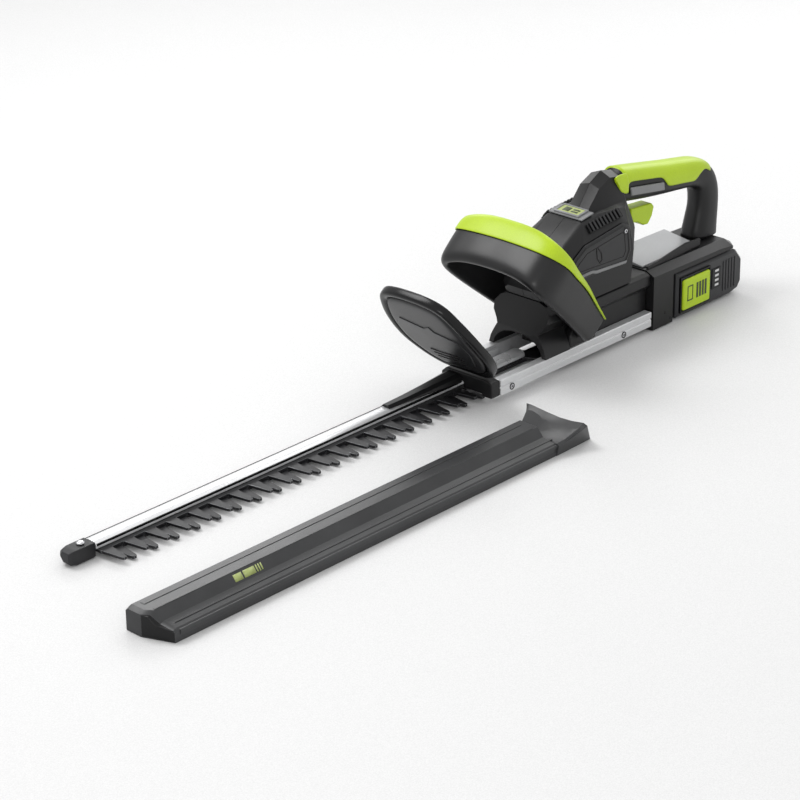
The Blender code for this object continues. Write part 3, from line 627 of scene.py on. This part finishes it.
# ---------------------------------------------------------------- hand guard
GUARD_UP = Vector((84.0, 0.0, 102.0)) / 132.14  # the guard leans forwards
GUARD_FRONT = Vector((102.0, 0.0, -84.0)) / 132.14
GUARD_FOOT = Vector((-482.0, 0.0, 19.0))
GUARD_HEIGHT = 152.0
GUARD_BOW = 4.0  # how far its middle bulges forwards
GUARD_CENTRE = 74.0  # height that its rings shrink towards
# Half outline: height above the foot, half width
GUARD_HALF = (
    (2.0, 28.0),
    (8.0, 38.0),
    (20.0, 48.5),
    (45.0, 59.0),
    (70.0, 60.5),
    (96.0, 57.5),
    (118.0, 51.0),
    (134.0, 43.5),
    (142.0, 31.0),
    (145.5, 12.0),
)


def guard_point(offset, up, front):
    """Point on the guard: offset from the middle, height above the foot, distance forwards."""
    bow = GUARD_BOW * math.sin(math.pi * min(max(up / GUARD_HEIGHT, 0.0), 1.0))
    base = GUARD_FOOT + GUARD_UP * up + GUARD_FRONT * (front + bow)
    return Vector((base.x, MID + offset, base.z))


half_curve = spline([Vector((half, up)) for up, half in GUARD_HALF], 3)
guard_edge = [(p.x, p.y) for p in half_curve] + [(-p.x, p.y) for p in reversed(half_curve)]


def guard_ring(shrink, front):
    """The guard's outline drawn in evenly towards its middle."""
    wide = 1.0 - shrink / 60.5
    tall = 1.0 - shrink / 72.0
    return [guard_point(a * wide, GUARD_CENTRE + (b - GUARD_CENTRE) * tall, front) for a, b in guard_edge]


shield_rings = [
    guard_ring(16.0, -1.2),
    guard_ring(6.0, -1.6),
    guard_ring(2.4, -2.6),
    guard_ring(1.2, -5.4),
    guard_ring(0.2, -5.4),
    guard_ring(0.0, 2.0),
    guard_ring(0.9, 3.9),
    guard_ring(2.8, 4.5),
    guard_ring(6.6, 4.3),
    guard_ring(8.4, 1.8),
    guard_ring(9.2, 1.4),
]
shield = settle("hand_guard_shield", rings_mesh(shield_rings), SMOOTH_BLACK_AND_SHADE, "frame", 1)
panel_rings = [guard_ring(9.4, 2.0), guard_ring(9.6, 3.4), guard_ring(11.0, 4.2), guard_ring(13.5, 4.6)]
for ring_shrink in (22.0, 32.0, 42.0, 50.0):
    panel_rings.append(guard_ring(ring_shrink, 4.6))
panel = settle("hand_guard_panel", rings_mesh(panel_rings), PANEL, "frame", 1)
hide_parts("guard_shield")
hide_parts("guard_panel")


def guard_prism(name, outline, low, high, mat, round_mm):
    """A raised shape on the guard's front, with its top edge drawn in."""
    rings = []
    for shrink, front in ((0.0, low), (0.0, high - 0.3), (0.7, high)):
        ring = inset(outline, shrink) if shrink else outline
        rings.append([guard_point(a, b, front) for a, b in ring])
    return settle(name, rings_mesh(rings), mat, "frame", round_mm=round_mm)


# Raised field with an arrow-shaped notch in its upper edge.
field = [
    (-34.0, 100.0),
    (-4.0, 93.0),
    (6.0, 99.0),
    (10.0, 91.0),
    (38.0, 84.0),
    (43.0, 62.0),
    (34.0, 36.0),
    (18.0, 20.0),
    (-18.0, 20.0),
    (-36.0, 38.0),
    (-44.0, 62.0),
    (-43.0, 86.0),
]
guard_prism("hand_guard_field", field, 4.2, 5.5, PANEL, 0.5)
for k in range(3):
    up = 30.0 + 7.0 * k
    rib = [(-20.0 - k, up), (20.0 + k, up), (20.0 + k, up + 2.2), (-20.0 - k, up + 2.2)]
    guard_prism(f"hand_guard_rib_{k}", rib, 5.3, 6.3, SMOOTH_BLACK_AND_SHADE, 0.3)

# ---------------------------------------------------------------- housing details
COVER_NOTCH = [
    (-649.0, 112.0),
    (-643.0, 119.0),
    (-640.0, 118.0),
    (-641.5, 106.0),
    (-647.0, 99.0),
    (-651.0, 103.0),
]
COVER_SILL = [
    (-590.0, 91.5),
    (-634.0, 92.2),
    (-640.0, 90.0),
    (-690.0, 87.6),
    (-692.0, 90.6),
    (-641.0, 93.6),
    (-633.0, 95.6),
    (-592.0, 95.0),
]
SLAT_COUNT = 9
SLAT_FRONT = -639.5
SLAT_PITCH = 5.6
SLAT_WIDTH = 2.6
SHOULDER_FRONT = -636.0
SHOULDER_SLOPE = 0.0755
# The shoulder's inner and outer edge: offset from the middle, height at its front
SHOULDER_EDGES = ((27.0, 144.6), (34.0, 136.6))
TOP_FRONT = -634.0  # the top panel rises backwards from here
TOP_HEIGHT = 146.0
TOP_SLOPE = 0.148


def air_slat(name, x, side):
    """One slat over the shoulder's air slots."""
    lift = SHOULDER_SLOPE * (SHOULDER_FRONT - x)
    inner, outer = [
        Vector((x, MID + side * (offset + 0.9), height + lift + 0.4))
        for offset, height in SHOULDER_EDGES
    ]
    raised = Vector((0.0, side * 0.75, 0.7))
    rings = []
    for dx in (0.0, -SLAT_WIDTH):
        step = Vector((dx, 0.0, 0.0))
        rings.append([inner + step, outer + step, outer + step + raised, inner + step + raised])
    settle(name, rings_mesh(rings), PANEL, "frame", round_mm=0.2)


for label, side in (("left", 1.0), ("right", -1.0)):
    cover, face = face_outline(f"side_cover_{label}", side)
    for name, outline, rise, width, mat, drawn, round_mm in (
        ("rim", cover, 0.55, 2.2, BLACK, 0.6, 0.35),
        ("line", cover, 0.3, 0.9, SMOOTH_BLACK_AND_SHADE, 7.5, 0.15),
        ("notch", COVER_NOTCH, 0.5, 1.3, SMOOTH_BLACK_AND_SHADE, 0.0, 0.2),
    ):
        frame_band(f"cover_{name}_{label}", outline, "y", face - 0.3 * side, face + rise * side, width, mat,
                   "frame", drawn=drawn, round_mm=round_mm)
    sill = prism_mesh(COVER_SILL, "y", face - 0.3 * side, face + 1.1 * side)
    settle(f"cover_sill_{label}", sill, TOP, "frame", round_mm=0.5)
    if side > 0:
        screw(f"cover_screw_{label}", (-600.0, 99.5), "y", face, side, 2.6, "frame")
        screw(f"cover_screw_rear_{label}", (-690.0, 124.0), "y", face, side, 2.6, "frame")
    for k in range(SLAT_COUNT):
        air_slat(f"air_slat_{label}_{k}", SLAT_FRONT - SLAT_PITCH * k, side)


def on_top(outline, level):
    """The outline laid on the sloping top panel, raised by the level."""
    return [Vector((x, y, TOP_HEIGHT + (TOP_FRONT - x) * TOP_SLOPE + level)) for x, y in outline]


def sloped(outline, low, high, top_inset=0.6):
    """A raised shape on the sloping top panel."""
    return rings_mesh([
        on_top(outline, low),
        on_top(outline, high - 0.2),
        on_top(inset(outline, top_inset), high),
    ])


badge = [(-638.0, MID - 14.5), (-638.0, MID + 14.5), (-651.5, MID + 14.5), (-651.5, MID - 14.5)]
bm = bmesh.new()
rows = []
for drawn, level in ((-2.4, 2.0), (-2.4, 3.9), (-0.2, 4.3), (0.2, 3.2)):
    rows.append([bm.verts.new(at(p)) for p in on_top(inset(badge, drawn), level)])
for a, b in zip(rows, rows[1:] + rows[:1]):
    for i in range(4):
        bm.faces.new((a[i], a[(i + 1) % 4], b[(i + 1) % 4], b[i]))
settle("badge_frame", bm, TOP, "frame", round_mm=0.4)
block = [(-641.0, MID - 9.5), (-641.0, MID - 1.5), (-649.0, MID - 1.5), (-649.0, MID - 9.5)]
settle("badge_block", sloped(block, 3.2, 3.9), GREEN_DARK, "frame")
for k in range(2):
    front = -641.4 - 4.4 * k
    back = -644.0 - 4.4 * k
    bar = [(front, MID + 1.5), (front, MID + 10.5), (back, MID + 10.5), (back, MID + 1.5)]
    settle(f"badge_bar_{k}", sloped(bar, 3.2, 3.8, 0.3), GREEN_DARK, "frame")

# ---------------------------------------------------------------- blade cover
# Sections across the cover, as y and height: along its length, inside its mouth, and at the mouth's rim
SPINE = [
    (120.0, 0.0),
    (120.0, 22.3),
    (123.0, 25.0),
    (139.0, 24.8),
    (146.0, 24.6),
    (153.5, 15.5),
    (168.0, 13.0),
    (170.5, 11.0),
    (170.5, 0.0),
    (151.0, 0.0),
    (139.0, 0.0),
]
STEP = [
    (118.0, 0.0),
    (115.0, 13.0),
    (118.0, 12.5),
    (133.0, 12.0),
    (144.0, 11.5),
    (157.0, 13.0),
    (171.0, 13.6),
    (174.0, 11.5),
    (171.0, 0.0),
    (151.0, 0.0),
    (139.0, 0.0),
]
MOUTH = [
    (110.0, 0.0),
    (103.0, 27.0),
    (110.0, 27.5),
    (128.0, 24.0),
    (144.0, 22.0),
    (160.0, 23.5),
    (179.0, 28.0),
    (182.0, 25.0),
    (170.0, 0.0),
    (151.0, 0.0),
    (139.0, 0.0),
]
COVER_WALL = 1.8
TIP_X = 103.0
CORNER_Y = 139.0  # the near corner of the closed end is set back from here on


def mixed(first, second, part):
    """Section between two others; part 0 gives the first and 1 the second."""
    return [(a * (1 - part) + c * part, b * (1 - part) + d * part) for (a, b), (c, d) in zip(first, second)]


def cover_x(x, y, z):
    """Sets back the near front corner, and the lower lip of the mouth."""
    if x > 90:
        return x - 10.0 * min(max(y - CORNER_Y, 0.0) / 12.0, 1.0) - 2.0 * max(y - 151.0, 0.0) / 20.0
    if x < -430:
        return x - 22.0 * (-430.0 - x) / 26.0 * (1.0 - min(z, 28.0) / 28.0)
    return x


def cover_ring(x, section, tall=1.0):
    """The section placed at x, with its height scaled."""
    return [Vector((cover_x(x, y, z), y, FLOOR + z * tall)) for y, z in section]


cover_rings = [
    cover_ring(TIP_X, SPINE, 0.88),
    cover_ring(98.0, SPINE),
    cover_ring(-180.0, SPINE),
    cover_ring(-424.0, SPINE),
    cover_ring(-424.6, STEP),
]
for x, part in ((-432.0, 0.08), (-439.0, 0.27), (-445.5, 0.52), (-451.0, 0.77), (-456.0, 1.0)):
    cover_rings.append(cover_ring(x, mixed(STEP, MOUTH, part)))
# The same way back along the inside, to just short of the closed end
for x, section, short in (
    (-456.0, MOUTH, 0.0),
    (-430.0, mixed(STEP, MOUTH, 0.1), 0.0),
    (-422.0, STEP, 0.0),
    (-421.0, STEP, 0.0),
    (100.0, STEP, 3.0),
):
    back = Vector((-short, 0.0, 0.0))
    cover_rings.append([p + back for p in cover_ring(x, inset(section, COVER_WALL))])
cover = settle("blade_cover", rings_mesh(cover_rings), SHEATH, "scabbard", round_mm=0.9,
               segments=3)
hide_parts("scabbard")

# The near corner of the closed end is a sloped facet in the darkest black: painted shade where the facet
# turns away from the light
corner_rings = []
for y, top in ((139.8, 21.6), (146.0, 21.5), (153.5, 13.6), (168.0, 11.4), (170.0, 9.9)):
    front = TIP_X + 0.3 - 12.0 * (y - CORNER_Y) / 31.5
    section = ((-13.0, 0.5), (0.0, 0.5), (0.0, top), (-13.0, top))
    corner_rings.append([Vector((front + dx, y, FLOOR + z)) for dx, z in section])
settle("cover_corner_painted_shade", rings_mesh(corner_rings), SMOOTH_BLACK_AND_SHADE, "scabbard", round_mm=0.5)


def cover_strip(name, y0, z0, y1, z1, x0, x1, rise, mat):
    """A low rib along the cover between two points of its section."""
    up = Vector((0.0, -(z1 - z0), y1 - y0)).normalized()
    rings = []
    for x, grow in ((x0, 0.0), (x0 - 1.5, rise), (x1 + 1.5, rise), (x1, 0.0)):
        a = Vector((x, y0, FLOOR + z0))
        b = Vector((x, y1, FLOOR + z1))
        rings.append([a - up * 0.4, b - up * 0.4, b + up * (grow + 0.02), a + up * (grow + 0.02)])
    settle(name, rings_mesh(rings), mat, "scabbard", round_mm=0.25)


cover_strip("cover_top_rib", 126.5, 24.95, 132.0, 24.87, 92.0, -416.0, 0.5, SHEATH)
cover_strip("cover_edge_rib", 143.2, 24.7, 145.8, 24.6, 92.0, -418.0, 0.6, SHEATH)
cover_strip("cover_ledge_rib", 160.0, 14.38, 162.2, 14.0, 84.0, -428.0, 0.6, SHEATH)

# Plain printed bars on the cover's slope
MARKS = ((-1.0, -11.0), (-13.0, -27.0), (-28.5, -30.0), (-31.5, -33.0), (-34.5, -36.0))
slope_up = Vector((0.0, 9.1, 7.5)).normalized()
for k, (x0, x1) in enumerate(MARKS):
    low = Vector((0.0, 151.8, FLOOR + 17.5))
    high = Vector((0.0, 147.4, FLOOR + 22.9))
    corners = ((x0, low), (x1, low), (x1, high), (x0, high))
    rings = []
    for lift in (-0.3, 0.25):
        rings.append([Vector((x, p.y, p.z)) + slope_up * lift for x, p in corners])
    settle(f"cover_mark_{k}", rings_mesh(rings), BADGE, "scabbard")

# ---------------------------------------------------------------- battery details
side_face = MID + PACK_FACE
for k in range(5):
    x = -867.0 - 5.2 * k
    rib = [(x, 2.0), (x - 2.6, 2.0), (x - 2.6, 38.0), (x, 38.0)]
    for label, side in (("left", 1.0), ("right", -1.0)):
        level = MID + side * (PACK_FACE - 0.1)
        settle(f"pack_rib_{label}_{k}", prism_mesh(rib, "y", level, level + side * 0.9), PACK, "battery",
               round_mm=0.35)
# The dark band round the green pad is painted shade for the recess along the pad's edges
surround = [(-787.0, -1.0), (-787.0, 41.0), (-841.4, 41.0), (-841.4, -1.0)]
frame_band("pad_surround", surround, "y", side_face - 0.4, side_face + 2.6, 2.2, SMOOTH_BLACK_AND_SHADE, "battery",
           round_mm=0.5)
pad_face = side_face + PAD_RISE
mark = [(-796.0, 12.0), (-796.0, 30.0), (-806.0, 30.0), (-806.0, 12.0)]
frame_band("pad_mark_frame", mark, "y", pad_face - 0.2, pad_face + 0.25, 1.4, GREEN_DARK, "latch",
           round_mm=0.1)
for k in range(4):
    x = -812.0 - 5.0 * k
    bar = [(x, 12.0), (x - 3.4, 12.0), (x - 3.4, 30.0), (x, 30.0)]
    settle(f"pad_mark_{k}", prism_mesh(bar, "y", pad_face - 0.2, pad_face + 0.25), GREEN_DARK, "latch",
           round_mm=0.1)
lights_face = side_face + LIGHTS_RISE
for k in range(4):
    z = 13.0 + 5.6 * k
    dot = [(-851.0, z), (-857.5, z), (-857.5, z + 2.6), (-851.0, z + 2.6)]
    settle(f"charge_mark_{k}", prism_mesh(dot, "y", lights_face - 0.2, lights_face + 0.2), WHITE, "battery",
           round_mm=0.1)

# ---------------------------------------------------------------- blade details
bar_low, bar_high = [corner * 1000.0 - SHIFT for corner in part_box("blade_bar")]
# The far line is a dark strip of painted shade along the bar's far edge; the near line is a dark strip
# along its near edge
for name, y0, y1, z0, z1 in (
    ("bar_far_line", bar_low.y + 1.5, bar_low.y + 2.2, 5.0, 6.5),
    ("bar_near_line", bar_high.y - 1.0, bar_high.y + 0.1, 2.8, 5.45),
):
    lip = [(y0, z0), (y1, z0), (y1, z1), (y0, z1)]
    settle(name, prism_mesh(lip, "x", -478.0, 26.8), SMOOTH_BLACK_AND_SHADE, "frame", round_mm=0.25)
# Each bolt's socket is a flat dark hexagon on its head: painted shade standing for the recess
for k, x in enumerate((-70.0, -190.0, -310.0, -430.0)):
    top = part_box(f"blade_bolt_{k + 1}")[1].z * 1000.0 - SHIFT.z
    drive = prism_mesh(circle(x, -14.0, 1.7, 6), "z", top - 0.05, top + 0.1)
    settle(f"bolt_socket_{k}", drive, SMOOTH_BLACK_AND_SHADE, "frame")
for k, x in enumerate((-505.0, -690.0)):
    screw(f"rail_screw_left_{k}", (x, 4.0), "y", MID + RAIL_FACE, 1.0, 2.2, "frame")
# Two small moulding pips on the side of the battery bay, which is flush with the rail
for k, (x, z) in enumerate(((-762.0, 8.0), (-772.0, -1.0))):
    pip = prism_mesh(circle(x, z, 1.6, 12), "y", MID + RAIL_FACE - 0.2, MID + RAIL_FACE + 0.2)
    settle(f"bay_pip_{k}", pip, SMOOTH_BLACK_AND_SHADE, "frame", round_mm=0.1)

# ---------------------------------------------------------------- stage, light, camera
FLOOR_HALF = 6.0
FLOOR_LEVEL = -0.0004
FLOOR_CORNERS = ((-1, -1), (1, -1), (1, 1), (-1, 1))
bm = bmesh.new()
corners = [bm.verts.new((a * FLOOR_HALF, b * FLOOR_HALF, FLOOR_LEVEL)) for a, b in FLOOR_CORNERS]
bm.faces.new(corners)
mesh = bpy.data.meshes.new("floor")
bm.to_mesh(mesh)
bm.free()
floor = bpy.data.objects.new("floor", mesh)
bpy.context.scene.collection.objects.link(floor)
floor_look = shader(
    "pale floor", (0.72, 0.72, 0.72), 0.6, grain=900.0, bump=0.02, mottle=0.004, vary=0.01
)
mesh.materials.append(floor_look)

world = bpy.data.worlds.new("studio")
bpy.context.scene.world = world
world.use_nodes = True
world.node_tree.nodes["Background"].inputs["Color"].default_value = (1.0, 1.0, 1.0, 1.0)
world.node_tree.nodes["Background"].inputs["Strength"].default_value = 0.85

# Name, place, point aimed at, size and power in watts
LAMPS = (
    ("key", (0.5, -1.0, 1.8), (0.0, 0.0, 0.05), (0.9, 0.9), 19.0),
    ("front", (1.5, 1.4, 1.0), (0.0, 0.0, 0.08), (1.0, 0.6), 9.0),
    ("back", (-1.6, -0.4, 1.1), (-0.2, 0.0, 0.1), (0.8, 1.4), 7.0),
    ("sheen", (-1.05, -1.6, 1.25), (0.25, 0.05, 0.02), (0.6, 0.6), 6.0),
)
for name, lamp_place, target, size, power in LAMPS:
    data = bpy.data.lights.new(name, "AREA")
    data.shape = "RECTANGLE"
    data.size = size[0]
    data.size_y = size[1]
    data.energy = power
    lamp = bpy.data.objects.new(name, data)
    bpy.context.scene.collection.objects.link(lamp)
    lamp.location = lamp_place
    lamp.rotation_euler = (Vector(target) - Vector(lamp_place)).to_track_quat("-Z", "Y").to_euler()

CAMERA_PLACE = (1510.567, 1785.668, 1174.721)
CAMERA_TURN = math.radians(46.62)
CAMERA_LIFT = math.radians(23.99)
CAMERA_ROLL = math.radians(0.7576)
CAMERA_LENS = 125.55
back = Vector((
    math.sin(CAMERA_TURN) * math.cos(CAMERA_LIFT),
    math.cos(CAMERA_TURN) * math.cos(CAMERA_LIFT),
    math.sin(CAMERA_LIFT),
))
forward = -back
right = forward.cross(Vector((0.0, 0.0, 1.0))).normalized()
down = forward.cross(right)
across = math.cos(CAMERA_ROLL) * right + math.sin(CAMERA_ROLL) * down
under = -math.sin(CAMERA_ROLL) * right + math.cos(CAMERA_ROLL) * down
camera_data = bpy.data.cameras.new("camera")
camera_data.lens = CAMERA_LENS
camera_data.sensor_width = 36.0
camera_data.clip_end = 50.0
camera = bpy.data.objects.new("camera", camera_data)
bpy.context.scene.collection.objects.link(camera)
turn = Matrix((across, -under, -forward)).transposed().to_4x4()
camera.matrix_world = Matrix.Translation(at(CAMERA_PLACE)) @ turn
bpy.context.scene.camera = camera
bpy.context.scene.view_settings.view_transform = "Standard"

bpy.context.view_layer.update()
